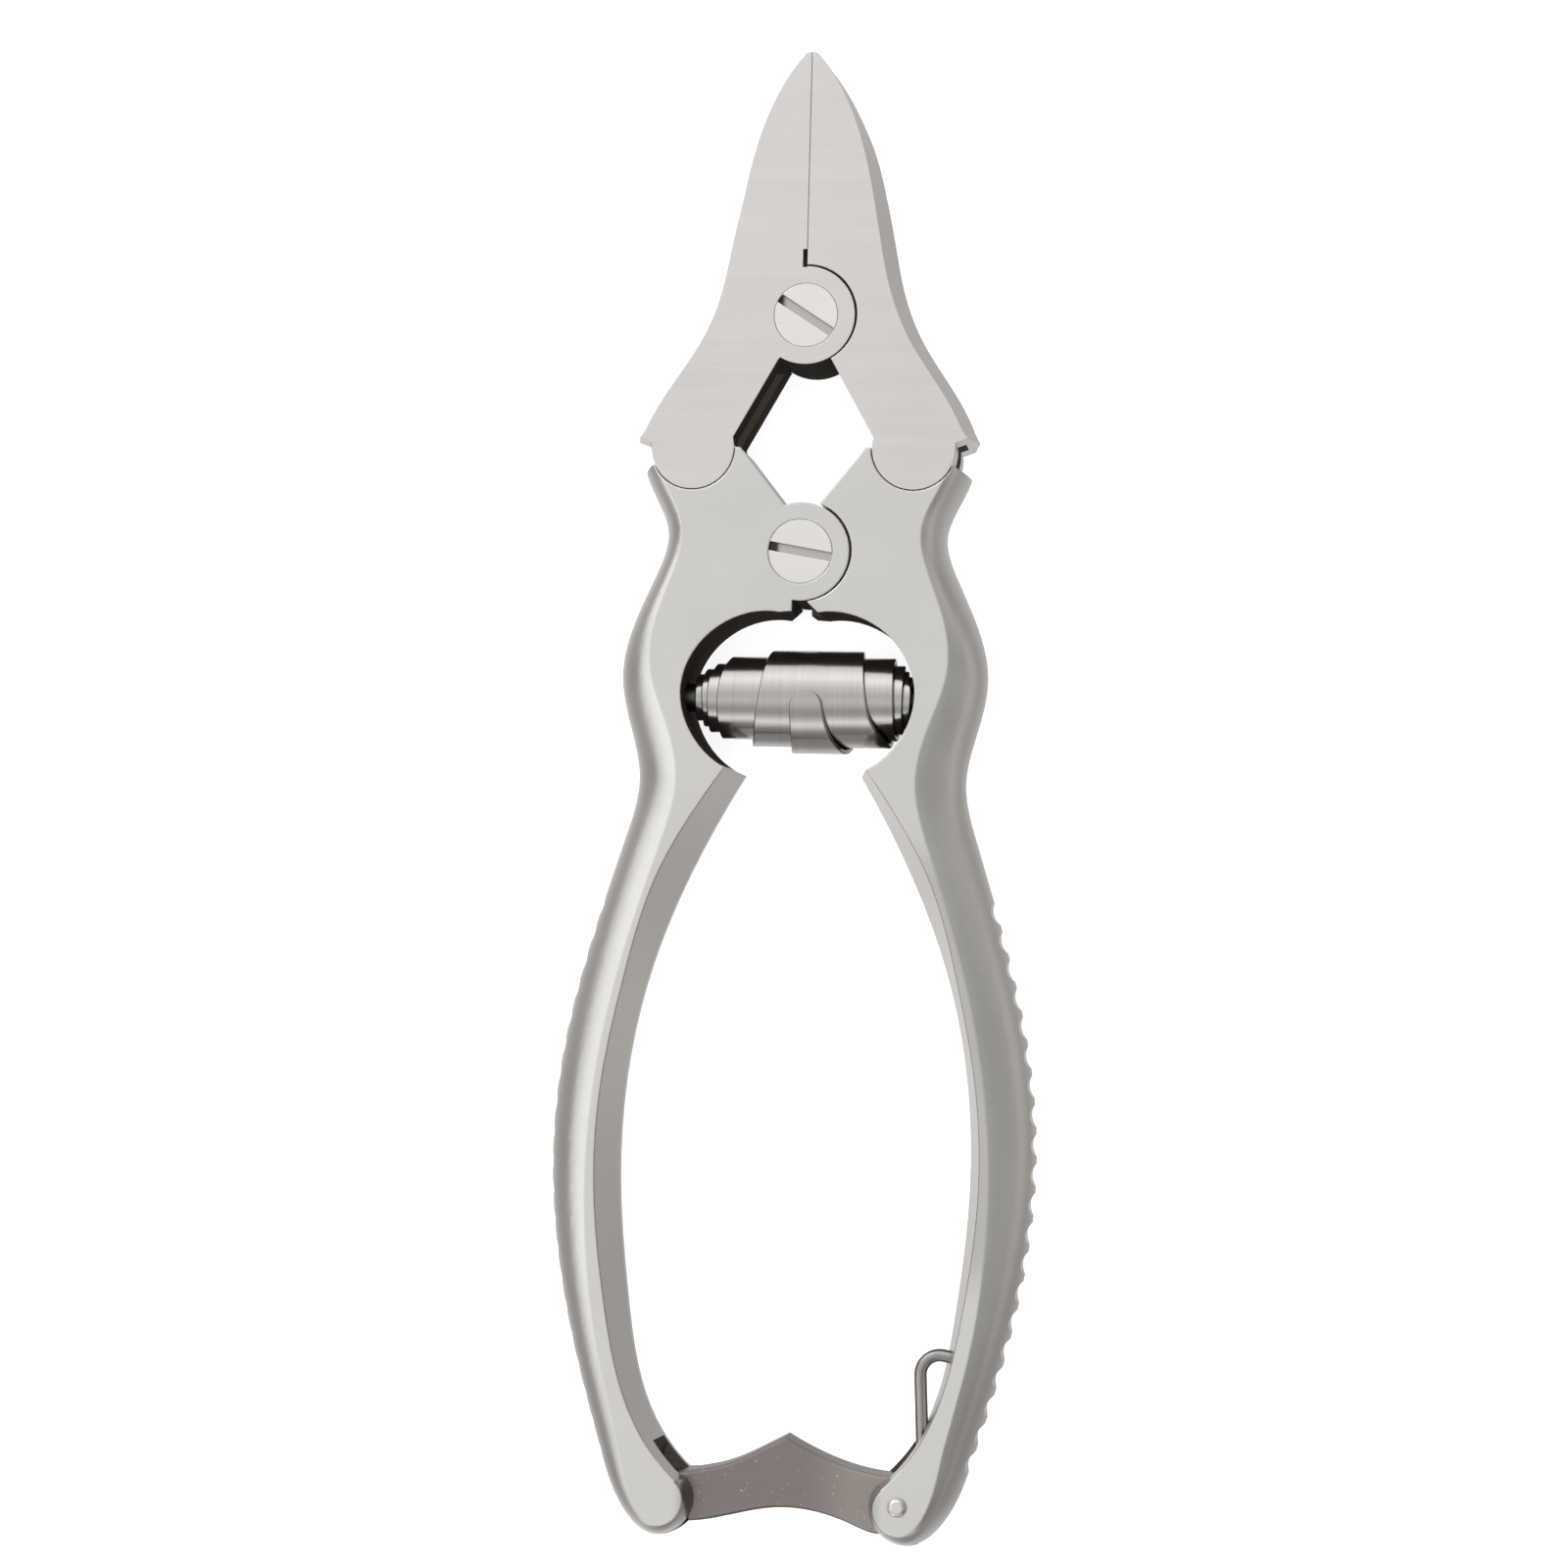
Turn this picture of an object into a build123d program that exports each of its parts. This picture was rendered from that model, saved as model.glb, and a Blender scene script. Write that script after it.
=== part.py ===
"""Double-action nipper with a barrel spring and a back lock, closed and locked.

It lies on its back: X across, Y from the handle ends to the jaw tips, Z from the back
face (0) to the front face. The origin is on the back face, on the handle pivot's axis.
"""

import os
from math import cos, hypot, radians, sin, sqrt

from build123d import *

# Plates and laps
thickness = 10.0
middle = thickness / 2
lap_gap = 0.06
round_gap = 0.12
recess_gap = 0.16
recess_shift_x = 0.08
recess_shift_y = 0.05
boss_radius = 5.1

# Pivots: handles on the origin, jaws above it, one knuckle on each side between them
jaw_pivot_y = 24.58
knuckle_x = 11.52
knuckle_y = 10.79
lobe_radius = 4.33

# Screws
head_radius = 3.3
head_height = 2.4
head_gap = 0.04
shank_radius = 1.9
turning_gap = 0.05
jaw_turning_gap = 0.18
slot_width = 0.95
slot_depth = 0.9

# Knuckles: a tongue on the handle turns in a fork on the jaw
fork_slot = 3.6
tongue_width = 3.4
tongue_radius = 4.05
fork_slot_radius = 5.2
pin_radius = 1.5
pin_length = 8.8

# Jaws
tip_y = 52.2
parting_gap = 0.05
nose_x = 17.5
nose_y = 11.9
notch_width = 0.44
notch_height = 1.9
notch_overlap = 0.1
tip_thickness = 4.6
taper_start_y = 35.0
land_height = 1.1
grind_start_y = 33.0
grind_width = 2.6

# Handles
crown_z = 3.8
front_reach = 6.35
back_reach = 3.95
bevel_z = 3.0
back_draft = 0.55
back_draft_depth = 2.0
grip_teeth = 20
grip_pitch = 3.03
groove_width = 2.4
groove_depth = 0.48
grip_from_horn = 48.3

# Clasp across the handle ends
clasp_x = 12.3
clasp_y = -97.3
bar_width = 4.0
bar_slot = 4.3
hub_radius = 2.65
hub_gap = 0.3
bar_reach = 25.15
rivet_radius = 0.95
rivet_dome = 0.5
catch_x = -10.5
catch_y = -98.75
catch_radius = 0.8
catch_gap = 0.15
wire_radius = 0.66

# Barrel spring: a forked strip rolled up so that its two arms step outwards and inwards
spring_y = -15.0
spring_z = 5.4
coil_outer = 5.5
coil_start = 78
coil_step = 0.75
half_coils = 8
barrel_bulge = 1.6
strip = 0.5
arm_width = 3.6
spring_half_length = 11.2
post_radius = 1.5
post_reach = 2.6
post_grip = 3.0
cavity_half_width = 12.15

# Outer side of a handle, horn to end: x, y and the half width of its oval section there
handle_outside = [
    (17.4, 9.3, 2.4),
    (16.2, 6.2, 2.5),
    (14.7, 2.4, 2.8),
    (15.9, -2.2, 3.1),
    (18.1, -7.2, 3.8),
    (19.25, -12.4, 4.9),
    (18.3, -18.0, 5.7),
    (17.2, -23.5, 6.1),
    (18.45, -29.5, 5.9),
    (21.4, -39.0, 5.8),
    (24.15, -50.0, 6.0),
    (25.35, -62.5, 5.8),
    (24.35, -74.0, 5.0),
    (22.15, -84.0, 4.2),
    (19.3, -93.5, 3.6),
    (17.2, -98.6, 2.9),
    (13.1, -101.9, 2.2),
    (9.7, -100.2, 1.5),
    (8.9, -97.6, 1.2),
    (10.0, -95.4, 1.0),
]
section_levels = [0.0, 0.32, 0.6, 0.82, 0.94, 1.0]

# Inner side of a handle, cavity corner to end, and the crease where its long bevel meets the front
handle_inside = [(6.15, -22.95), (11.9, -33.7), (15.75, -43.8), (18.15, -56.4), (18.4, -66.0),
                 (17.25, -78.0), (14.85, -88.6), (10.0, -95.4)]
handle_crease = [(6.6, -21.4), (8.0, -23.4), (14.2, -33.9), (17.15, -43.8), (19.5, -56.4),
                 (19.8, -66.0), (18.4, -78.0), (15.6, -88.6), (10.3, -95.9)]
handle_foot = (5.0, -95.4)
cavity = [(6.15, -22.95), (11.3, -18.3), (12.15, -14.2), (10.5, -9.9), (6.9, -7.0), (2.0, -6.3)]

# Head of a handle: its edge towards the other handle, and the neck under its lap disc
head_edge = [(0.95, -5.35), (0.3, -4.0), (0.3, 3.0), (1.75, 4.75), (6.55, 10.8), (7.1, 10.8)]
neck = [(0.73, -4.0), (0.73, -6.2), (2.2, -6.3), (3.5, -4.0)]
horn_angle = -24
horn_top = 12.2
horn_tip_x = 18.2
horn_drop = 1.2

# Open ends of the handles: the slot round the clasp's hub, and the reach of the catch's slot
hub_slot = [(5.0, -102.0), (11.0, -102.0), (12.6, -100.3), (15.2, -97.0), (15.6, -94.0),
            (14.9, -90.6), (12.0, -86.0), (5.0, -86.0)]
catch_slot_top = -91.0
catch_slot_bottom = -100.45

# Outer side of a jaw, tip to nose: x, y and how far its front and back edges are drawn in
jaw_outside = [
    (0.75, 52.2, 0.2),
    (2.7, 49.8, 0.3),
    (4.85, 46.0, 0.5),
    (6.2, 42.9, 0.75),
    (7.55, 38.1, 0.95),
    (8.65, 32.9, 1.1),
    (9.75, 27.7, 1.1),
    (11.9, 22.4, 1.1),
    (15.2, 17.3, 1.1),
    (17.45, 13.0, 1.0),
]

# From a jaw's nose round its far side to its tip
jaw_closing = [(20.0, 8.0), (20.0, 2.0), (0.0, 2.0), (0.0, tip_y)]

# Jaw's tail: its edge under the lap disc, the fork's throat, and where its lobe starts and ends
tail_edge = [(2.75, 20.0), (0.5, 22.0)]
fork_throat = [(7.6, 8.0), (1.0, 19.6), (4.6, 19.6), (9.8, 12.6)]
lobe_start_angle = 7
lobe_bottom_angle = -90
lobe_end_angle = 166

# Clasp bar: upper edge from hub to thumb peak to hook, its end, and the lower edge back to the hub
bar_hub_side = [(11.9, -94.68), (7.3, -94.05), (3.8, -92.85), (0.3, -91.1)]
bar_hook_side = [(0.3, -91.1), (-2.1, -92.4), (-5.7, -94.1), (-9.2, -94.95), (-12.3, -95.5)]
bar_end = [(-12.3, -95.5), (-12.8, -97.6), (-12.4, -99.9)]
bar_lower = [(-12.4, -99.9), (-9.5, -100.1), (-1.0, -98.4), (7.0, -99.6), (9.8, -100.55), (12.3, -99.95)]
bar_chamfer = 0.25
hook_opening = 3.0

# Lock spring: out of the handle, round a bend and down to the clasp's hub
wire_line = [(19.3, -83.4), (17.0, -82.5), (13.8, -81.95), (14.25, -91.0), (14.7, -94.1)]
wire_bend = 2.0

# Beyond every outline, for closing sections and cuts
far = 40.0


def on_side(side, pairs):
    return [(side * x, y) for x, y in pairs]


def polar(radius, angle):
    return radius * cos(radians(angle)), radius * sin(radians(angle))


def around_knuckle(radius, angle):
    x, y = polar(radius, angle)
    return knuckle_x + x, knuckle_y + y


def drawn_in(line, share):
    """The outer line with each point moved inwards by a share of its third value."""
    moved = []
    last = len(line) - 1
    for i, (x, y, reach) in enumerate(line):
        before = line[max(i - 1, 0)]
        after = line[min(i + 1, last)]
        along_x = after[0] - before[0]
        along_y = after[1] - before[1]
        inset = reach * share / hypot(along_x, along_y)
        moved.append((x + inset * along_y, y - inset * along_x))
    return moved


def outer_section(outside, closing, height):
    """A section at one height: the outer line, closed round the far side."""
    with BuildSketch(Plane.XY.offset(height)) as section:
        with BuildLine():
            Spline(*outside)
            Polyline(outside[-1], *closing, outside[0])
        make_face()
    return section.sketch


def rounded_handle(side):
    """The handle's outer shape in two lofts, oval in section and ground flat front and back."""
    with BuildPart() as rounded:
        for face, reach in ((0, back_reach), (thickness, front_reach)):
            sections = []
            for level in section_levels:
                height = crown_z + level * (face - crown_z)
                share = 1 - sqrt(1 - ((height - crown_z) / reach) ** 2)
                outside = on_side(side, drawn_in(handle_outside, share))
                sections.append(outer_section(outside, ((0, -94), (0, horn_top)), height))
            loft(sections)
    return rounded.part


def drafted_jaw(side):
    """The jaw's outer shape: widest at mid thickness, drawn in towards the front and back."""
    closing = on_side(side, jaw_closing)
    sections = []
    for height, share in ((0, 1), (middle, 0), (thickness, 1)):
        outside = on_side(side, drawn_in(jaw_outside, share))
        sections.append(outer_section(outside, closing, height))
    with BuildPart() as drafted:
        loft(sections, ruled=True)
    return drafted.part


def long_bevel(side):
    """What the bevel down the handle's inner side takes off, from its foot to the front."""
    with BuildPart() as bevel:
        for height, line in ((bevel_z, handle_inside), (thickness, handle_crease)):
            with BuildSketch(Plane.XY.offset(height)):
                with BuildLine():
                    inside = Spline(*on_side(side, line))
                    Polyline(inside @ 1, (0, line[-1][1]), (0, line[0][1]), inside @ 0)
                make_face()
        loft(ruled=True)
    return bevel.part


def handle_plate(side):
    """The handle's inner side: window edge, spring cavity and finger side."""
    horn_x, horn_y = around_knuckle(lobe_radius + round_gap, horn_angle)
    with BuildPart() as plate:
        with BuildSketch():
            with BuildLine():
                inside = Spline(*on_side(side, handle_inside))
                room = Spline(*on_side(side, cavity))
                Polyline(
                    room @ 1,
                    *on_side(side, head_edge),
                    (side * horn_x, horn_y),
                    (side * horn_tip_x, horn_y - horn_drop),
                    (side * far, 0),
                    (side * far, -3 * far),
                    (side * handle_foot[0], -3 * far),
                    (side * handle_foot[0], handle_foot[1]),
                    inside @ 1,
                )
            make_face()
        extrude(amount=thickness)
        back = plate.faces().sort_by(Axis.Z)[0]
        window_edge = back.edges().filter_by(GeomType.BSPLINE).filter_by_position(Axis.Y, -95, -26)
        chamfer(window_edge, back_draft, back_draft_depth, reference=back)
        add(long_bevel(side), mode=Mode.SUBTRACT)
    return plate.part


def own_half(side):
    """Bottom and height of a piece's half of a lap: front on the left, back on the right."""
    height = middle - lap_gap / 2
    return (thickness - height if side < 0 else 0), height


def disc(radius, height, mode=Mode.ADD):
    Cylinder(radius, height, align=(Align.CENTER, Align.CENTER, Align.MIN), mode=mode)


def lap(side, pivot_y):
    """Half-lap: a recess for the other piece's disc, then this piece's own disc."""
    bottom, height = own_half(side)
    recess_bottom = 0 if side < 0 else height
    with Locations((recess_shift_x, pivot_y + recess_shift_y, recess_bottom)):
        disc(boss_radius + recess_gap, thickness - height, Mode.SUBTRACT)
    with Locations((0, pivot_y, bottom)):
        disc(boss_radius, height)


def grip(side):
    """Shallow grooves down the outer side, a pitch apart along it."""
    outside = Edge.make_spline([Vector(side * x, y) for x, y, _ in handle_outside])
    groove = ((groove_width / 2) ** 2 + groove_depth**2) / (2 * groove_depth)
    for tooth in range(grip_teeth):
        here = (grip_from_horn + grip_pitch * tooth) / outside.length
        along = outside.tangent_at(here)
        outward = Vector(-along.Y, along.X) * side
        centre = outside.position_at(here) + outward * (groove - groove_depth)
        with Locations((centre.X, centre.Y, 0)):
            disc(groove, thickness, Mode.SUBTRACT)


def screw_seat(pivot_y, turning_radius, thread_radius):
    """Counterbore and shank hole from the front; the thread is in the back half."""
    with Locations((0, pivot_y, thickness - head_height - head_gap)):
        disc(head_radius + head_gap, head_height + head_gap, Mode.SUBTRACT)
    with Locations((0, pivot_y, middle)):
        disc(turning_radius, middle, Mode.SUBTRACT)
    with Locations((0, pivot_y, 0)):
        disc(thread_radius, middle, Mode.SUBTRACT)


def across(side, distance):
    """A plane on the barrel spring's axis, facing the cavity wall on one side."""
    return Plane((side * distance, spring_y, spring_z), x_dir=(0, 1, 0), z_dir=(side, 0, 0))


def lock_wire():
    """The lock spring's wire, in the middle of the thickness."""
    with BuildLine(Plane.XY.offset(middle)) as path:
        FilletPolyline(*wire_line, radius=wire_bend)
    with BuildPart() as wire:
        with BuildSketch(Plane(path.line @ 0, z_dir=path.line % 0)):
            Circle(wire_radius)
        sweep(path=path.line)
    return wire.part


def end_slot(side):
    """Slot in the handle's end for the clasp: hub and swing on the right, catch on the left."""
    bottom = middle - bar_slot / 2
    with BuildSketch(Plane.XY.offset(bottom)) as slot:
        if side > 0:
            with Locations((clasp_x, clasp_y)):
                Circle(hub_radius + hub_gap)
            with BuildLine():
                Polyline(*hub_slot, close=True)
            make_face()
        else:
            with Locations((clasp_x, clasp_y)):
                Circle(bar_reach + hub_gap)
            with Locations((clasp_x, catch_slot_bottom - far / 2), (clasp_x, catch_slot_top + far / 2)):
                Rectangle(2 * far, far, mode=Mode.SUBTRACT)
    extrude(slot.sketch, amount=bar_slot, mode=Mode.SUBTRACT)


def make_handle(side, name):
    with BuildPart() as handle:
        add(rounded_handle(side))
        add(handle_plate(side), mode=Mode.INTERSECT)
        layer = (thickness - tongue_width) / 2
        knuckle = (side * knuckle_x, knuckle_y)
        for fork_arm in (0, thickness - layer):
            with Locations((*knuckle, fork_arm)):
                disc(lobe_radius + round_gap, layer, Mode.SUBTRACT)
        with Locations((*knuckle, layer)):
            disc(tongue_radius, tongue_width)
        with Locations((*knuckle, 0)):
            disc(pin_radius + turning_gap, thickness, Mode.SUBTRACT)
        lap(side, 0)
        bottom, height = own_half(side)
        with BuildSketch(Plane.XY.offset(bottom)):
            with BuildLine():
                Polyline(*on_side(side, neck), close=True)
            make_face()
        extrude(amount=height)
        screw_seat(0, shank_radius + turning_gap, shank_radius)
        grip(side)
        end_slot(side)
        with Locations(across(side, cavity_half_width - post_reach)):
            disc(post_radius, post_reach + post_grip, Mode.SUBTRACT)
        if side > 0:
            add(lock_wire(), mode=Mode.SUBTRACT)
            with Locations((clasp_x, clasp_y, 0)):
                disc(rivet_radius, thickness, Mode.SUBTRACT)
        else:
            with Locations((catch_x, catch_y, 0)):
                disc(catch_radius, pin_length, Mode.SUBTRACT)
    finish(handle, name)


def jaw_plate(side):
    """Blade and tail in plan, with the round lobe that sits in the handle's socket."""
    angles = (lobe_start_angle, lobe_bottom_angle, lobe_end_angle)
    start, bottom, end = on_side(side, [around_knuckle(lobe_radius, angle) for angle in angles])
    inner_x = side * parting_gap / 2
    with BuildPart() as plate:
        add(drafted_jaw(side))
        with BuildSketch():
            with BuildLine():
                ThreePointArc(start, bottom, end)
                Polyline(end, *on_side(side, tail_edge), (inner_x, tail_edge[-1][1]), (inner_x, tip_y),
                         (side * far, tip_y), (side * far, nose_y), (side * nose_x, nose_y), start)
            make_face()
        extrude(amount=thickness, mode=Mode.INTERSECT)
    return plate.part


def make_jaw(side, name):
    turning = shank_radius + jaw_turning_gap
    with BuildPart() as jaw:
        add(jaw_plate(side))
        lap(side, jaw_pivot_y)
        bottom, height = own_half(side)
        notch_y = jaw_pivot_y + boss_radius - notch_overlap
        with Locations((side * notch_width / 2, notch_y, bottom)):
            Box(notch_width, notch_height, height, mode=Mode.SUBTRACT,
                align=(Align.CENTER, Align.MIN, Align.MIN))
        screw_seat(jaw_pivot_y, turning, shank_radius)
        with BuildSketch(Plane.XY.offset(middle - fork_slot / 2)):
            with Locations((side * knuckle_x, knuckle_y)):
                Circle(fork_slot_radius)
            with BuildLine():
                Polyline(*on_side(side, fork_throat), close=True)
            make_face()
        extrude(amount=fork_slot, mode=Mode.SUBTRACT)
        with Locations((side * knuckle_x, knuckle_y, 0)):
            disc(pin_radius, pin_length, Mode.SUBTRACT)
        with BuildSketch(Plane.YZ):
            with BuildLine():
                Polyline((taper_start_y, 0), (tip_y + 1, thickness - tip_thickness),
                         (tip_y + 1, -1), (taper_start_y, -1), close=True)
            make_face()
        extrude(amount=far, both=True, mode=Mode.SUBTRACT)
        with BuildSketch(Plane.XZ.offset(-grind_start_y)):
            with BuildLine():
                Polyline((0, thickness - land_height), (side * grind_width, -1), (0, -1), close=True)
            make_face()
        extrude(amount=-far, mode=Mode.SUBTRACT)
    finish(jaw, name)


def make_screw(name, pivot_y, slot_angle):
    with BuildPart() as screw:
        with Locations((0, pivot_y, 0)):
            disc(shank_radius, thickness - head_height)
        with Locations((0, pivot_y, thickness - head_height)):
            disc(head_radius, head_height)
        with Locations(Location((0, pivot_y, thickness), slot_angle)):
            Box(2 * head_radius + 1, slot_width, 2 * slot_depth, mode=Mode.SUBTRACT)
    finish(screw, name)


def make_pin(name, x, y, radius, length):
    with BuildPart() as pin:
        with Locations((x, y, 0)):
            disc(radius, length)
    finish(pin, name)


def make_lock_spring(name):
    with BuildPart() as wire:
        add(lock_wire())
    finish(wire, name)


def make_post(side, name):
    with BuildPart() as post:
        with Locations(across(side, cavity_half_width - post_reach)):
            disc(post_radius, post_reach + post_grip)
    finish(post, name)


def make_clasp_pin(name):
    with BuildPart() as rivet:
        with Locations((clasp_x, clasp_y, 0)):
            disc(rivet_radius, thickness + rivet_dome)
        fillet(rivet.edges().sort_by(Axis.Z)[-1], 0.9 * rivet_dome)
    finish(rivet, name)


def make_clasp_bar(name):
    """Flat bar with a thumb peak, a hub at its right end and a hook at its left end."""
    with BuildPart() as bar:
        with BuildSketch(Plane.XY.offset(middle - bar_width / 2)):
            with BuildLine():
                Spline(*bar_hub_side)
                Spline(*bar_hook_side)
                ThreePointArc(*bar_end)
                Spline(*bar_lower)
                Line(bar_lower[-1], bar_hub_side[0])
            make_face()
            with Locations((clasp_x, clasp_y)):
                Circle(hub_radius)
                Circle(rivet_radius + turning_gap, mode=Mode.SUBTRACT)
            with Locations((catch_x, catch_y)):
                Circle(catch_radius + catch_gap, mode=Mode.SUBTRACT)
            with Locations((catch_x, catch_y - hook_opening / 2)):
                Rectangle(2 * (catch_radius + catch_gap), hook_opening, mode=Mode.SUBTRACT)
        extrude(amount=bar_width)
        rim = bar.edges().filter_by(GeomType.BSPLINE)
        chamfer(rim, bar_chamfer)
    finish(bar, name)


def half_coil(number):
    """One half turn of the rolled strip: its centre, outer radius and start angle."""
    start = coil_start + 180 * number
    lean = coil_step / 4 if number % 2 == 0 else -coil_step / 4
    centre = Vector(*polar(lean, coil_start))
    return centre, coil_outer - coil_step / 2 * number, start


def make_barrel_spring(name):
    with BuildPart() as spring:
        for number in range(half_coils):
            centre, radius, start = half_coil(number)
            left = 1 - (number + 1) / half_coils
            reach = spring_half_length * (1 - left**barrel_bulge)
            near = reach - arm_width if reach > arm_width + 1 else 0
            for side in (-1, 1):
                middle_point = (centre.X, side * centre.Y)
                with BuildSketch(across(side, near)):
                    with BuildLine():
                        arc = CenterArc(middle_point, radius, side * start, side * 180)
                        core = CenterArc(middle_point, radius - strip, side * start, side * 180)
                        Line(arc @ 0, core @ 0)
                        Line(arc @ 1, core @ 1)
                    make_face()
                extrude(amount=reach - near)
    finish(spring, name)


def finish(piece, name):
    piece.part.label = name
    export_step(piece.part, f"parts/{name}.step")


os.makedirs("parts", exist_ok=True)
make_handle(-1, "handle_left")
make_handle(1, "handle_right")
make_jaw(-1, "jaw_left")
make_jaw(1, "jaw_right")
make_screw("handle_screw", 0, -10)
make_screw("jaw_screw", jaw_pivot_y, -33)
make_pin("knuckle_pin_left", -knuckle_x, knuckle_y, pin_radius, pin_length)
make_pin("knuckle_pin_right", knuckle_x, knuckle_y, pin_radius, pin_length)
make_pin("catch_pin", catch_x, catch_y, catch_radius, pin_length)
make_clasp_bar("clasp_bar")
make_clasp_pin("clasp_pin")
make_lock_spring("lock_spring")
make_post(-1, "spring_post_left")
make_post(1, "spring_post_right")
make_barrel_spring("barrel_spring")
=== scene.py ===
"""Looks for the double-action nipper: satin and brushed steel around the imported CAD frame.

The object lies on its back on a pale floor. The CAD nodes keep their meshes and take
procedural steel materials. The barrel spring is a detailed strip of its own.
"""

from math import cos, pi, radians, sin

import bpy
from mathutils import Matrix, Vector


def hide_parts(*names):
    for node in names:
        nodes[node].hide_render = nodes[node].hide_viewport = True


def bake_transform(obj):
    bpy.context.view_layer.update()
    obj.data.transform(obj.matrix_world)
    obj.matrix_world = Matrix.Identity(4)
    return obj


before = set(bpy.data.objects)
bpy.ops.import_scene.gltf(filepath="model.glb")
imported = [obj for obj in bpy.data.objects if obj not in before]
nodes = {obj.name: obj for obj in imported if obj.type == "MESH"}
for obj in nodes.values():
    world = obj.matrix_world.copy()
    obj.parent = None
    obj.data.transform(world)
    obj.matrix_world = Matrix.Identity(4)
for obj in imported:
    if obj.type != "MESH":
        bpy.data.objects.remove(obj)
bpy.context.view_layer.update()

MM = 0.001


# ---------------------------------------------------------------- node helpers
class Tree:
    """Small helper for building shader node trees."""

    def __init__(self, node_tree):
        self.nodes = node_tree.nodes
        self.links = node_tree.links

    def put(self, socket, value):
        if isinstance(value, bpy.types.NodeSocket):
            self.links.new(value, socket)
        else:
            socket.default_value = value

    def math(self, operation, *values, clamp=False):
        node = self.nodes.new("ShaderNodeMath")
        node.operation = operation
        node.use_clamp = clamp
        for socket, value in zip(node.inputs, values):
            self.put(socket, value)
        return node.outputs[0]

    def vector(self, operation, *values):
        node = self.nodes.new("ShaderNodeVectorMath")
        node.operation = operation
        for socket, value in zip(node.inputs, values):
            self.put(socket, value)
        return node.outputs["Value"] if operation == "DOT_PRODUCT" else node.outputs["Vector"]

    def scaled(self, coordinates, scale, shift=(0, 0, 0)):
        node = self.nodes.new("ShaderNodeMapping")
        self.put(node.inputs["Vector"], coordinates)
        node.inputs["Scale"].default_value = scale
        node.inputs["Location"].default_value = shift
        return node.outputs[0]

    def noise(self, coordinates, scale=1.0, detail=2.0, rough=0.5):
        node = self.nodes.new("ShaderNodeTexNoise")
        self.put(node.inputs["Vector"], coordinates)
        node.inputs["Scale"].default_value = scale
        node.inputs["Detail"].default_value = detail
        node.inputs["Roughness"].default_value = rough
        return node.outputs["Fac"]

    def remap(self, value, low, high, to_low=0.0, to_high=1.0):
        node = self.nodes.new("ShaderNodeMapRange")
        node.interpolation_type = "SMOOTHSTEP"
        self.put(node.inputs["Value"], value)
        self.put(node.inputs["From Min"], low)
        self.put(node.inputs["From Max"], high)
        self.put(node.inputs["To Min"], to_low)
        self.put(node.inputs["To Max"], to_high)
        return node.outputs[0]

    def mix(self, kind, first, factor, a, b):
        """Mixes a and b, which go into the sockets from the index first on."""
        node = self.nodes.new("ShaderNodeMix")
        node.data_type = kind
        self.put(node.inputs["Factor"], factor)
        self.put(node.inputs[first], a)
        self.put(node.inputs[first + 1], b)
        return node

    def blend(self, factor, a, b):
        """The number a where the factor is 0, and b where it is 1."""
        return self.mix("FLOAT", 2, factor, a, b).outputs[0]

    def colour(self, factor, a, b):
        """The colour a where the factor is 0, and b where it is 1."""
        return self.mix("RGBA", 6, factor, a, b).outputs[2]

    def tint(self, value, colour):
        """A grey value times a colour."""
        node = self.mix("RGBA", 6, 1.0, colour, value)
        node.blend_type = "MULTIPLY"
        return node.outputs[2]


class Paint(Tree):
    """An empty material with one principled shader."""

    def __init__(self, name):
        self.material = bpy.data.materials.new(name)
        self.material.use_nodes = True
        super().__init__(self.material.node_tree)
        self.nodes.clear()
        output = self.nodes.new("ShaderNodeOutputMaterial")
        self.shader = self.nodes.new("ShaderNodeBsdfPrincipled")
        self.links.new(self.shader.outputs[0], output.inputs["Surface"])


def inside(t, value, low, high, soft):
    """1 where the value lies between low and high, with soft ends."""
    above = t.remap(value, low - soft, low + soft)
    return t.math("MULTIPLY", above, t.remap(value, high + soft, high - soft))


# How much of a normal points up: on worked faces against sides, and on level faces against others
FACE_UP = (0.55, 0.9)
FLAT_UP = (0.96, 0.99)
# Noise frequencies per mm: along the grain and across it, on the worked faces and on the sides
GRAIN_ALONG = 0.04
GRAIN_ACROSS = 9.0
BAND_ALONG = 0.02
BAND_ACROSS = 0.8
BAND_SHIFT = (3.1, 1.7, 0.4)
SIDE_GRAIN = (0.3, 0.3, 5.0)
ACROSS_AXES = {"x": "yz", "y": "xz", "around": "x"}


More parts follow.
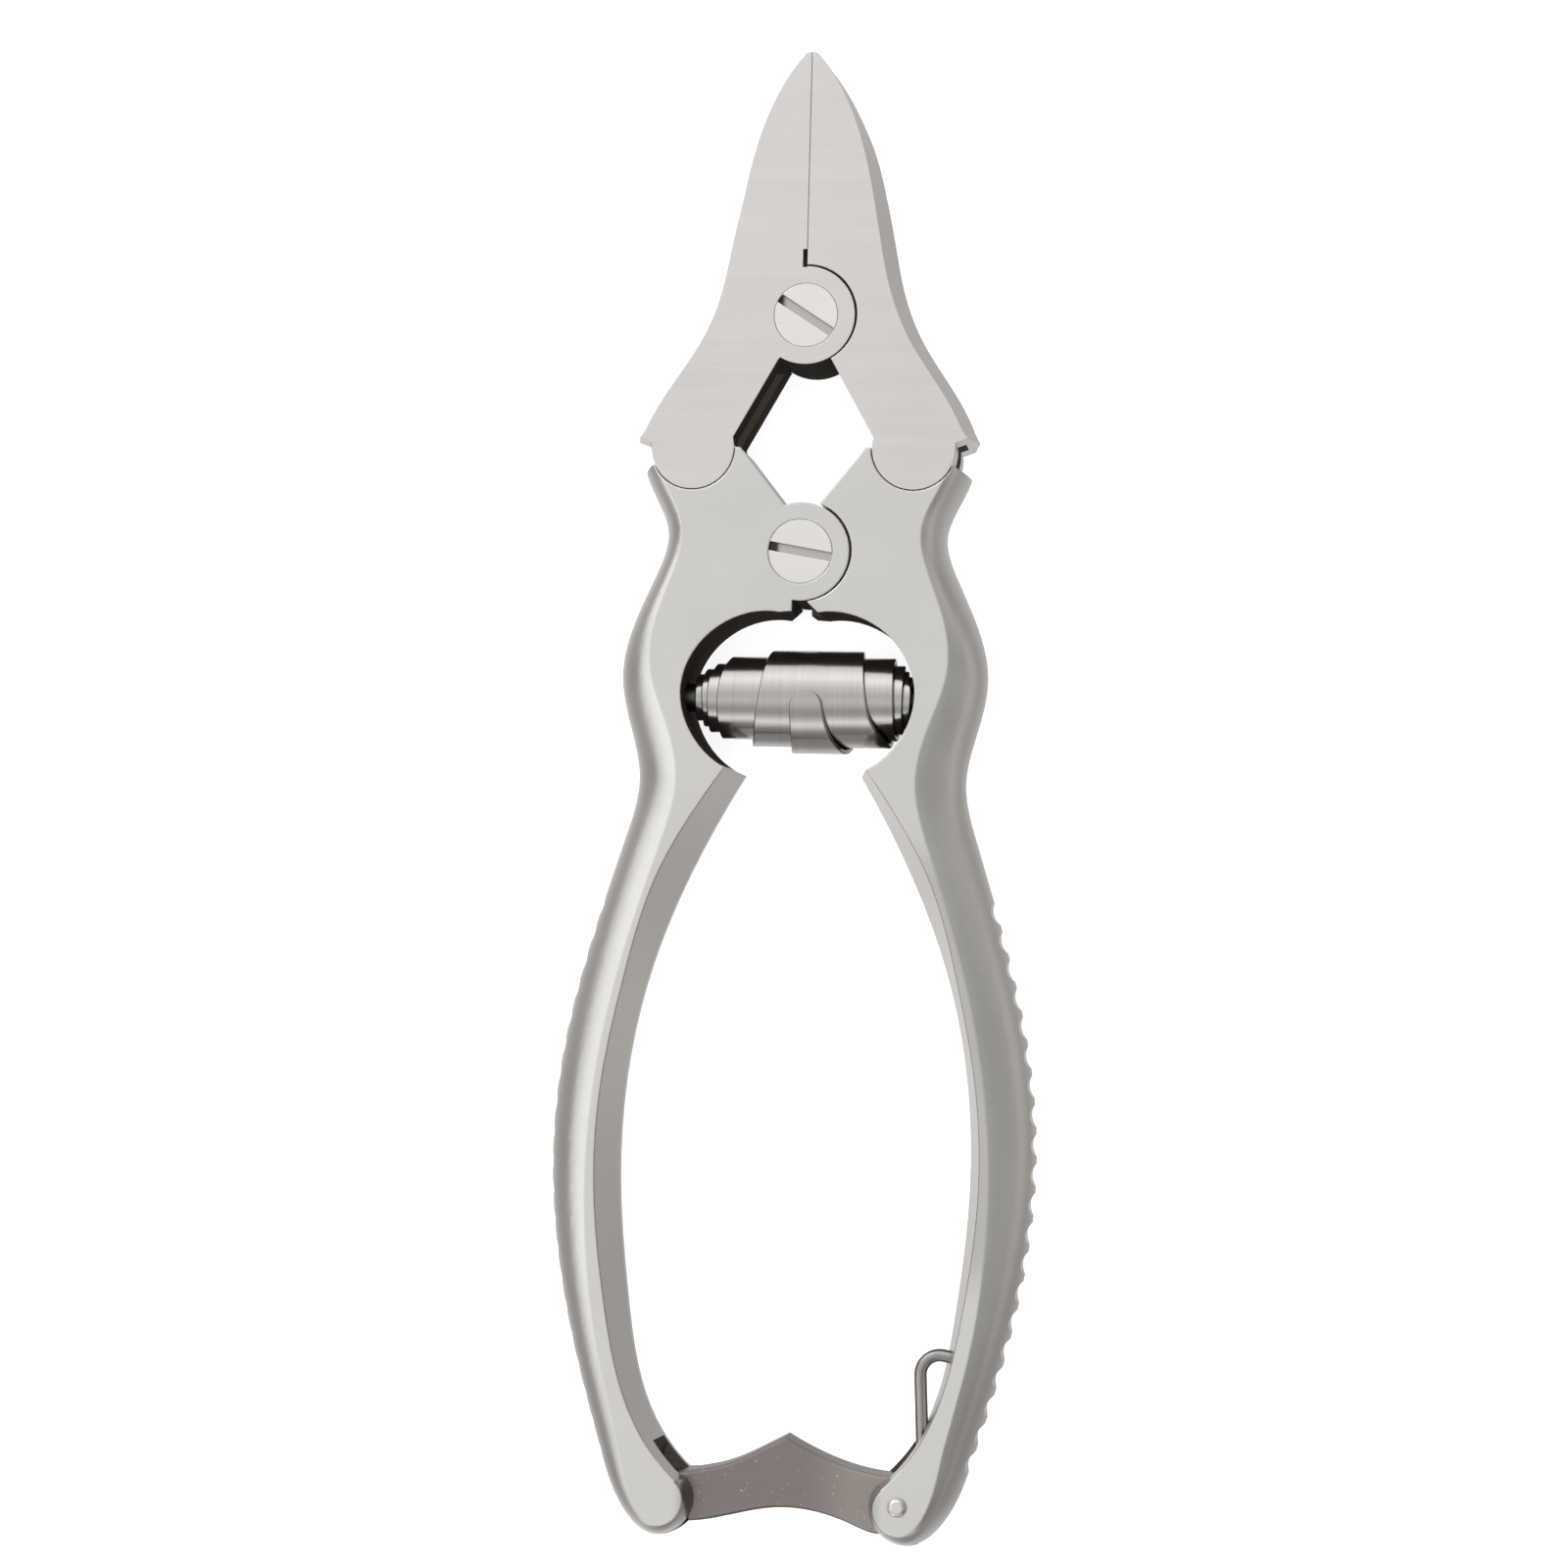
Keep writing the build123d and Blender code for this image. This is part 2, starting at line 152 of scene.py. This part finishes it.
class Surface:
    """What a finish may ask of a point: its place in mm, its facing and its noises."""

    def __init__(self, t, grain):
        coordinates = t.nodes.new("ShaderNodeTexCoord")
        self.here = t.vector("SCALE", coordinates.outputs["Object"])
        self.here.node.inputs["Scale"].default_value = 1 / MM
        place = t.nodes.new("ShaderNodeSeparateXYZ")
        t.put(place.inputs[0], self.here)
        self.x, self.y, self.z = place.outputs
        self.side = t.math("ABSOLUTE", self.x)
        normal = t.nodes.new("ShaderNodeSeparateXYZ")
        t.put(normal.inputs[0], coordinates.outputs["Normal"])
        up = t.math("ABSOLUTE", normal.outputs["Z"])
        self.face = t.remap(up, *FACE_UP)
        self.wall = t.math("SUBTRACT", 1.0, self.face)
        self.flat = t.remap(up, *FLAT_UP)

        across = ACROSS_AXES[grain]
        grain_scale = [GRAIN_ACROSS if axis in across else GRAIN_ALONG for axis in "xyz"]
        band_scale = [BAND_ACROSS if axis in across else BAND_ALONG for axis in "xyz"]
        self.streak = t.noise(t.scaled(self.here, grain_scale), detail=3.0, rough=0.62)
        if grain != "around":
            side_grain = t.noise(t.scaled(self.here, SIDE_GRAIN), detail=3.0, rough=0.6)
            self.streak = t.blend(self.face, side_grain, self.streak)
        self.broad = t.noise(t.scaled(self.here, band_scale, BAND_SHIFT))
        self.cloud = t.noise(self.here, scale=0.12, rough=0.55)
        self.speck = t.noise(self.here, scale=2.6, rough=0.7)
        self.painted_shade = None
        self.edge = None

    def blacken(self, t, mask):
        """Marks a place painted with dark matt shade, where little light gets in."""
        self.painted_shade = mask if self.painted_shade is None else t.math("MAXIMUM", self.painted_shade, mask)

    def region(self, t, x=None, y=None, z=None, side=None, soft=0.15):
        """1 inside a box given by (low, high) pairs in mm; side is the distance from the middle."""
        mask = 1.0
        for value, span in ((self.x, x), (self.y, y), (self.z, z), (self.side, side)):
            if span is not None:
                mask = t.math("MULTIPLY", inside(t, value, *span, soft), mask)
        return mask


def varied(t, value, noise, amount):
    """value made larger and smaller by a noise."""
    return t.math("MULTIPLY", value, t.math("MULTIPLY_ADD", t.math("SUBTRACT", noise, 0.5), amount, 1.0))


def darker(t, level, mask, factor):
    """level times the factor where the mask is 1; over 1 it gets lighter."""
    return t.math("MULTIPLY", level, t.blend(mask, 1.0, factor))


# Edges: the cosine between a rounded normal and the face's own, where an edge starts and is full
EDGE_COSINES = (0.995, 0.85)
# Rubbed edges: which part of a patchy noise is rubbed, and how much brighter and smoother it is
RUBBED_PATCHES = (0.3, 0.65)
RUBBED_BRIGHTER = 0.15
RUBBED_SMOOTHER = 0.08
# How much the noises change the steel's grey and its roughness, and their relief in mm
CLOUD_GREY = 0.08
STREAK_ROUGH = 0.07
CLOUD_ROUGH = 0.05
RELIEF_DEPTH = 0.02
# Painted shade, dark and matt: its grey, how much the streaks add to it, and its tint
SHADE_GREY = 0.02
SHADE_STREAK = 0.04
SHADE_TINT = (1.0, 0.8, 0.68, 1)


def steel(name, base, rough, grain="x", streaks=0.10, tone=(1.0, 0.975, 0.95),
          wall_tone=(1.0, 0.945, 0.905), bump=0.25, rounding=0.14, shade=None):
    """Brushed or satin steel: base is its grey, tone and wall_tone tint its faces and its sides; shade
    paints shade and light into that grey.
    """
    t = Paint(name)
    s = Surface(t, grain)

    rounded = t.nodes.new("ShaderNodeBevel")
    rounded.samples = 4
    rounded.inputs["Radius"].default_value = rounding * MM
    geometry = t.nodes.new("ShaderNodeNewGeometry")
    along = t.vector("DOT_PRODUCT", rounded.outputs[0], geometry.outputs["Normal"])
    s.edge = t.remap(along, *EDGE_COSINES)
    patches = t.remap(t.noise(s.here, scale=0.9, detail=3.0), *RUBBED_PATCHES)
    rubbed = t.math("MULTIPLY", s.edge, patches)

    level = varied(t, base, s.streak, streaks * 2)
    level = varied(t, level, s.broad, streaks)
    level = varied(t, level, s.cloud, CLOUD_GREY)
    level = t.math("MULTIPLY_ADD", rubbed, RUBBED_BRIGHTER * base, level)
    if shade is not None:
        level = shade(t, s, level)
    colour = t.colour(s.face, (*wall_tone, 1), (*tone, 1))
    painted = t.tint(level, colour)
    t.shader.inputs["Metallic"].default_value = 1.0
    t.shader.inputs["Specular IOR Level"].default_value = 0.0
    t.shader.inputs["IOR"].default_value = 1.0
    # Painted shade: where its mask is 1, the steel turns into a dark matt colour with no metal
    if s.painted_shade is not None:
        scale = t.tint(t.math("MULTIPLY_ADD", s.streak, SHADE_STREAK, SHADE_GREY), SHADE_TINT)
        painted = t.colour(s.painted_shade, painted, scale)
        t.put(t.shader.inputs["Metallic"], t.math("SUBTRACT", 1.0, s.painted_shade))
    t.put(t.shader.inputs["Base Color"], painted)

    gloss = t.math("MULTIPLY_ADD", t.math("SUBTRACT", s.streak, 0.5), STREAK_ROUGH, rough)
    gloss = t.math("MULTIPLY_ADD", t.math("SUBTRACT", s.cloud, 0.5), CLOUD_ROUGH, gloss)
    gloss = t.math("MULTIPLY_ADD", rubbed, -RUBBED_SMOOTHER, gloss, clamp=True)
    t.put(t.shader.inputs["Roughness"], gloss)

    relief = t.nodes.new("ShaderNodeBump")
    relief.inputs["Strength"].default_value = bump
    relief.inputs["Distance"].default_value = RELIEF_DEPTH * MM
    t.put(relief.inputs["Height"], s.streak)
    t.put(relief.inputs["Normal"], rounded.outputs[0])
    t.put(t.shader.inputs["Normal"], relief.outputs[0])
    return t.material


# Places that get painted shade of their own, and the clasp's painted lighter end, in mm
BETWEEN_FACES = {"z": (0.6, 9.4)}
CAVITY = {"y": (-22.3, -5.7), "side": (-1, 12.6)}
CLASP_SLOT = {"y": (-103, -92), "z": (2.86, 7.14), "side": (-1, 14.2), "soft": 0.03}
NECK = {"y": (-7, -4.7), "z": (-1, 9.85), "side": (-1, 1.7), "soft": 0.06}
INNER_CREASE = {"y": (-93, -23), "soft": 1.5}
RIGHT_GRIP = {"x": (10, 30), "y": (-74, -31), "soft": 3.0}
WINDOW_EDGE = {"y": (4.6, 11.5), "side": (-1, 7.3), "soft": 0.3}
HANDLE_ENDS = {"y": (-104, -93.5), "soft": 1.0}
HANDLE_ENDS_INNER = (10.9, 9.0)
GRIPS = {"y": (-99, -24), "soft": 3.0}
GRIPS_LOWER = (-50, -95)
JAW_TAILS = {"y": (11, 20.6), "side": (-1, 8.1)}
JAW_FORKS = {"y": (4, 20), "z": (3.22, 6.78), "side": (-1, 10.5), "soft": 0.03}
SCREW_SLOTS = {"z": (8, 9.7), "soft": 0.1}
SCREW_SLOT_END = {"x": (-4, -2.3), "soft": 0.35}
CLASP_RIGHT = {"x": (5, 14), "soft": 3.0}
# Pits in the clasp's blueing: which part of the specks they are, and how much brighter
PITS = (0.68, 0.74)
PITS_BRIGHTER = 0.45


def blacken_layers(t, s):
    """Level faces between front and back, such as laps and slots: no light gets in."""
    s.blacken(t, t.math("MULTIPLY", s.flat, s.region(t, **BETWEEN_FACES)))


def handle_shade(t, s, level):
    """Painted shade: dark cavity, slots, neck and creases; a darker right grip, window sides, ends and
    lower inner sides.
    """
    blacken_layers(t, s)
    # Painted shade: the cavity's walls, the clasp slot and the neck turn dark
    s.blacken(t, t.math("MULTIPLY", s.wall, s.region(t, **CAVITY)))
    s.blacken(t, s.region(t, **CLASP_SLOT))
    s.blacken(t, s.region(t, **NECK))
    # Painted shade: a dark line along the inner creases
    level = darker(t, level, t.math("MULTIPLY", s.edge, s.region(t, **INNER_CREASE)), factor=0.15)
    # Painted shade: the right grip's flat faces a little darker
    level = darker(t, level, t.math("MULTIPLY", s.flat, s.region(t, **RIGHT_GRIP)), factor=0.78)
    # Painted shade: the sides round the window between jaws and handles
    level = darker(t, level, t.math("MULTIPLY", s.wall, s.region(t, **WINDOW_EDGE)), factor=0.35)
    # Painted shade: the inner edges of the handle ends, darker where they round off
    inner = t.remap(s.side, *HANDLE_ENDS_INNER)
    level = darker(t, level, t.math("MULTIPLY", inner, s.region(t, **HANDLE_ENDS)), factor=0.55)
    # Painted shade: the grips' sides darker towards the lower end
    grip = t.math("MULTIPLY", s.wall, s.region(t, **GRIPS))
    return darker(t, level, t.math("MULTIPLY", grip, t.remap(s.y, *GRIPS_LOWER)), factor=0.75)


def jaw_shade(t, s, level):
    """Painted shade: dark sides and fork of the tails, where little light gets in."""
    blacken_layers(t, s)
    s.blacken(t, t.math("MULTIPLY", s.wall, s.region(t, **JAW_TAILS)))
    s.blacken(t, s.region(t, **JAW_FORKS))
    return level


def screw_shade(t, s, level):
    """Painted shade: a darker slot, with its left end dark and matt."""
    slot = s.region(t, **SCREW_SLOTS)
    s.blacken(t, t.math("MULTIPLY", slot, s.region(t, **SCREW_SLOT_END)))
    return darker(t, level, slot, factor=0.66)


def spring_shade(t, s, level):
    """Painted shade: every step of the rolled strip shows a dark outline."""
    return darker(t, level, s.edge, factor=0.5)


def clasp_shade(t, s, level):
    """Small bright pits, and a right end painted lighter as painted light."""
    pits = t.remap(s.speck, *PITS)
    level = t.math("MULTIPLY_ADD", pits, PITS_BRIGHTER, level)
    return darker(t, level, s.region(t, **CLASP_RIGHT), factor=1.35)


jaw_steel = steel("jaw_brushed", 0.71, 0.32, streaks=0.08, tone=(1.0, 0.962, 0.953), bump=0.08,
                  shade=jaw_shade)
handle_steel = steel("handle_satin", 0.69, 0.27, streaks=0.012, tone=(1.0, 0.985, 0.955), bump=0.01,
                     rounding=0.28, shade=handle_shade)
screw_steel = steel("screw_brushed", 0.83, 0.30, streaks=0.05, shade=screw_shade)
# Painted shade: the pins are painted nearly black, as they sit in dark hollows
shaded_pin_steel = steel("pin_turned_shaded", 0.12, 0.3)
rivet_steel = steel("rivet_polished", 0.7, 0.22)
clasp_steel = steel("clasp_blued", 0.26, 0.38, streaks=0.06, tone=(1.0, 0.89, 0.84),
                    wall_tone=(1.0, 0.89, 0.84), shade=clasp_shade)
wire_steel = steel("wire_drawn", 0.32, 0.16, grain="y")
spring_steel = steel("spring_brushed", 0.49, 0.19, grain="around", streaks=0.12, bump=0.1,
                     shade=spring_shade)

looks = {
    "jaw_left": jaw_steel, "jaw_right": jaw_steel,
    "handle_left": handle_steel, "handle_right": handle_steel,
    "jaw_screw": screw_steel, "handle_screw": screw_steel,
    "knuckle_pin_left": shaded_pin_steel, "knuckle_pin_right": shaded_pin_steel, "catch_pin": shaded_pin_steel,
    "spring_post_left": shaded_pin_steel, "spring_post_right": shaded_pin_steel,
    "clasp_bar": clasp_steel, "clasp_pin": rivet_steel,
    "lock_spring": wire_steel, "barrel_spring": spring_steel,
}
for node_name, material in looks.items():
    piece = nodes[node_name]
    piece.data.materials.clear()
    piece.data.materials.append(material)


# ---------------------------------------------------------------- barrel spring
# y and z of the spring's axis, and the strip's thickness and chamfer, in mm
SPRING_AXIS = (-15.1, 5.34)
STRIP = 0.5
STRIP_EDGE = 0.1
# The tongue's tip: degrees from straight up, and the radius of its round end
TIP_ANGLE = 7.3
TIP_RADIUS = 1.65
# Degrees rolled at each ring of the mesh: close together round the tip, then evenly
TIP_RINGS = [0.15, 0.6, 1.3, 2.2, 3.4, 4.8, 6.4, 8.2, 10.2, 12.5, 15.0, 17.2]
EVEN_RINGS = range(20, 1884, 4)
CORNERS = 8
# Degrees rolled from the tongue's tip, outer radius there
ROLL = [(0, 5.74), (40, 5.66), (90, 5.57), (180, 5.33), (270, 5.21), (360, 5.07), (450, 4.9), (640, 4.5),
        (720, 4.38), (820, 4.15), (1000, 3.75), (1080, 3.62), (1180, 3.48), (1400, 3.1),
        (1440, 3.04), (1600, 2.78), (1800, 2.5), (1900, 2.4)]
# Degrees rolled, the strip's left and right edges in mm
LEFT_EDGE = [(0, -0.6), (20, -0.65), (60, -0.65), (90, -0.9), (180, -1.8), (296, -3.16), (350, -3.78),
             (386, -4.28), (434, -4.8), (540, -6.2), (660, -7.5), (690, -8.05), (735, -8.42),
             (790, -8.3), (900, -8.4), (1027, -9.05), (1055, -9.48), (1145, -9.55), (1280, -9.8),
             (1389, -10.1), (1430, -10.25), (1490, -10.15), (1620, -10.6), (1740, -10.98), (1900, -10.9)]
RIGHT_EDGE = [(0, 2.7), (20, 2.75), (51, 3.37), (79, 4.31), (110, 5.0), (180, 5.8), (292, 6.56),
              (367, 7.16), (397, 7.66), (426, 8.9), (470, 9.4), (560, 9.6), (657, 9.8), (752, 10.0),
              (786, 9.95), (900, 10.3), (1027, 10.87), (1140, 10.8), (1280, 11.0), (1394, 11.3),
              (1432, 11.65), (1496, 11.45), (1700, 11.6), (1900, 11.5)]


def along(line, at):
    """The value of a smooth line through (place, value) pairs."""
    last = len(line) - 1
    i = 0
    while i < last - 1 and line[i + 1][0] < at:
        i += 1

    def slope(k):
        before, after = line[max(k - 1, 0)], line[min(k + 1, last)]
        return (after[1] - before[1]) / (after[0] - before[0])

    width = line[i + 1][0] - line[i][0]
    u = min(max((at - line[i][0]) / width, 0), 1)
    return ((1 + 2 * u) * (1 - u) ** 2 * line[i][1] + u * (1 - u) ** 2 * width * slope(i)
            + u * u * (3 - 2 * u) * line[i + 1][1] + u * u * (u - 1) * width * slope(i + 1))


def make_spring():
    """One strip of sheet steel, narrow at its tip and wide at its root, rolled up into a barrel."""
    points = []
    for degrees in (*TIP_RINGS, *EVEN_RINGS):
        outer = along(ROLL, degrees)
        left, right = along(LEFT_EDGE, degrees), along(RIGHT_EDGE, degrees)
        travelled = radians(degrees) * outer
        if travelled < TIP_RADIUS:
            share = (1 - (1 - travelled / TIP_RADIUS) ** 2) ** 0.5
            centre = (left + right) / 2
            left, right = centre + (left - centre) * share, centre + (right - centre) * share
        edge = min(STRIP_EDGE, (right - left) / 4)
        inner = outer - STRIP
        angle = radians(TIP_ANGLE - degrees)
        for x, radius in ((left + edge, outer), (right - edge, outer), (right, outer - edge),
                          (right, inner + edge), (right - edge, inner), (left + edge, inner),
                          (left, inner + edge), (left, outer - edge)):
            points.append((x * MM, (SPRING_AXIS[0] + radius * sin(angle)) * MM,
                           (SPRING_AXIS[1] + radius * cos(angle)) * MM))
    last_ring = len(points) - CORNERS
    faces = [tuple(range(CORNERS)), tuple(reversed(range(last_ring, len(points))))]
    for ring in range(0, last_ring, CORNERS):
        for k in range(CORNERS):
            after = (k + 1) % CORNERS
            faces.append((ring + after, ring + k, ring + CORNERS + k, ring + CORNERS + after))
    mesh = bpy.data.meshes.new("barrel_strip")
    mesh.from_pydata(points, [], faces)
    mesh.update()
    mesh.shade_smooth()
    mesh.set_sharp_from_angle(angle=radians(25))
    mesh.materials.append(spring_steel)
    piece = bpy.data.objects.new("barrel_strip", mesh)
    bpy.context.scene.collection.objects.link(piece)
    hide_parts("barrel_spring")
    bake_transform(piece)


make_spring()


# ---------------------------------------------------------------- stage
# The floor: half its width in metres, its grey, and how far it lies below the object in mm
FLOOR_HALF = 3.0
FLOOR_GREY = 0.94
FLOOR_DROP = 0.05


def make_floor():
    """A pale floor just under the object, which the steel doesn't reflect."""
    corners = [(x * FLOOR_HALF, y * FLOOR_HALF, 0) for x, y in ((-1, -1), (1, -1), (1, 1), (-1, 1))]
    mesh = bpy.data.meshes.new("floor")
    mesh.from_pydata(corners, [], [(0, 1, 2, 3)])
    floor = bpy.data.objects.new("floor", mesh)
    bpy.context.scene.collection.objects.link(floor)
    t = Paint("floor_pale")
    t.shader.inputs["Base Color"].default_value = (FLOOR_GREY, FLOOR_GREY, FLOOR_GREY, 1)
    t.shader.inputs["Roughness"].default_value = 0.9
    mesh.materials.append(t.material)
    floor.location.z = -FLOOR_DROP * MM
    floor.visible_glossy = False


def make_sun():
    """Soft light from straight above for the floor; the steel is lit by the studio around it."""
    data = bpy.data.lights.new("sun", "SUN")
    data.energy = 3.0
    data.angle = radians(60)
    data.use_shadow = False
    sun = bpy.data.objects.new("sun", data)
    sun.visible_glossy = False
    bpy.context.scene.collection.objects.link(sun)


# The studio's brightness, up to BRIGHTEST: by the angle from straight up towards +Y, by how far
# along X above the horizon, and by how far along X below it
STUDIO_TILT = [(-90, 0.25), (-80, 0.3), (-74, 0.4), (-66, 1.0), (-58, 1.45), (-50, 0.95), (-40, 0.55),
               (-31, 0.5), (-21, 0.7), (-14, 0.85), (-9, 0.95), (0, 0.85), (8, 0.8), (16, 0.92), (28, 1.1),
               (38, 1.35), (48, 1.65), (57, 1.55), (66, 1.35), (78, 1.05), (90, 0.45)]
STUDIO_SIDE = [(-1, 0.3), (-0.985, 0.5), (-0.95, 1.0), (-0.85, 1.3), (-0.7, 1.45), (-0.5, 1.35),
               (-0.33, 1.1), (-0.2, 0.97), (-0.1, 1.06), (0, 1.05), (0.1, 0.95), (0.25, 0.7), (0.45, 0.53),
               (0.67, 0.46), (0.9, 0.5), (1, 0.52)]
STUDIO_UNDER = [(-1, 0.355), (-0.95, 0.415), (-0.88, 0.455), (-0.75, 0.56), (-0.6, 0.7), (-0.4, 0.85),
                (-0.15, 0.8), (0.1, 0.65), (0.4, 0.56), (0.6, 0.5), (0.75, 0.42), (0.85, 0.43),
                (0.92, 0.52), (0.97, 0.6), (1, 0.52)]
BRIGHTEST = 1.7
# Below the horizon it gets darker towards +Y and -Y: from y, to y, the share of light left there
FAR_PLUS = (0.45, 0.75, 1.0, 0.15)
FAR_MINUS = (-0.9, -0.55, 0.5, 1.0)
HORIZON = 0.06


def make_world():
    """The studio that the steel reflects."""
    world = bpy.data.worlds.new("studio")
    bpy.context.scene.world = world
    world.use_nodes = True
    t = Tree(world.node_tree)
    background = t.nodes["Background"]

    def ramp(place, line, low, high):
        node = t.nodes.new("ShaderNodeValToRGB")
        scale = 1 / (high - low)
        t.put(node.inputs[0], t.math("MULTIPLY_ADD", place, scale, -low * scale))
        stops = node.color_ramp.elements
        for i, (at, value) in enumerate(line):
            stop = stops[i] if i < 2 else stops.new(1.0)
            stop.position = (at - low) * scale
            grey = value / BRIGHTEST
            stop.color = (grey, grey, grey, 1)
        return t.math("MULTIPLY", node.outputs[0], BRIGHTEST)

    coordinates = t.nodes.new("ShaderNodeTexCoord")
    split = t.nodes.new("ShaderNodeSeparateXYZ")
    t.put(split.inputs[0], coordinates.outputs["Generated"])
    x, y, z = split.outputs
    tilt = t.math("MULTIPLY", t.math("ARCSINE", y), 180 / pi)
    sky = t.math("MULTIPLY", ramp(tilt, STUDIO_TILT, -90, 90), ramp(x, STUDIO_SIDE, -1, 1))
    far_away = t.math("MULTIPLY", t.remap(y, *FAR_PLUS), t.remap(y, *FAR_MINUS))
    under = t.math("MULTIPLY", ramp(x, STUDIO_UNDER, -1, 1), far_away)
    above = t.remap(z, -HORIZON, HORIZON)
    strength = t.math("MULTIPLY_ADD", t.math("SUBTRACT", sky, under), above, under)
    t.put(background.inputs["Strength"], strength)
    background.inputs["Color"].default_value = (1.0, 0.995, 0.985, 1)


# Camera: where it is and where it aims, in mm, its roll in radians and its lens
EYE = (47.2, -41.5, 362.6)
AIM = (-1.08, -24.08, 10.0)
ROLL_ANGLE = -0.025
LENS = 79.5


def make_camera():
    """Nearly straight from above, from the right of the object."""
    data = bpy.data.cameras.new("camera")
    data.lens = LENS
    data.sensor_width = 36
    data.clip_start = 0.01
    camera = bpy.data.objects.new("camera", data)
    bpy.context.scene.collection.objects.link(camera)
    eye = Vector(EYE) * MM
    forward = (Vector(AIM) * MM - eye).normalized()
    right = forward.cross(Vector((sin(ROLL_ANGLE), cos(ROLL_ANGLE), 0))).normalized()
    up = right.cross(forward)
    camera.matrix_world = Matrix((
        (right.x, up.x, -forward.x, eye.x),
        (right.y, up.y, -forward.y, eye.y),
        (right.z, up.z, -forward.z, eye.z),
        (0, 0, 0, 1),
    ))
    bpy.context.scene.camera = camera


make_floor()
make_world()
make_sun()
make_camera()
bpy.context.scene.view_settings.view_transform = "Standard"
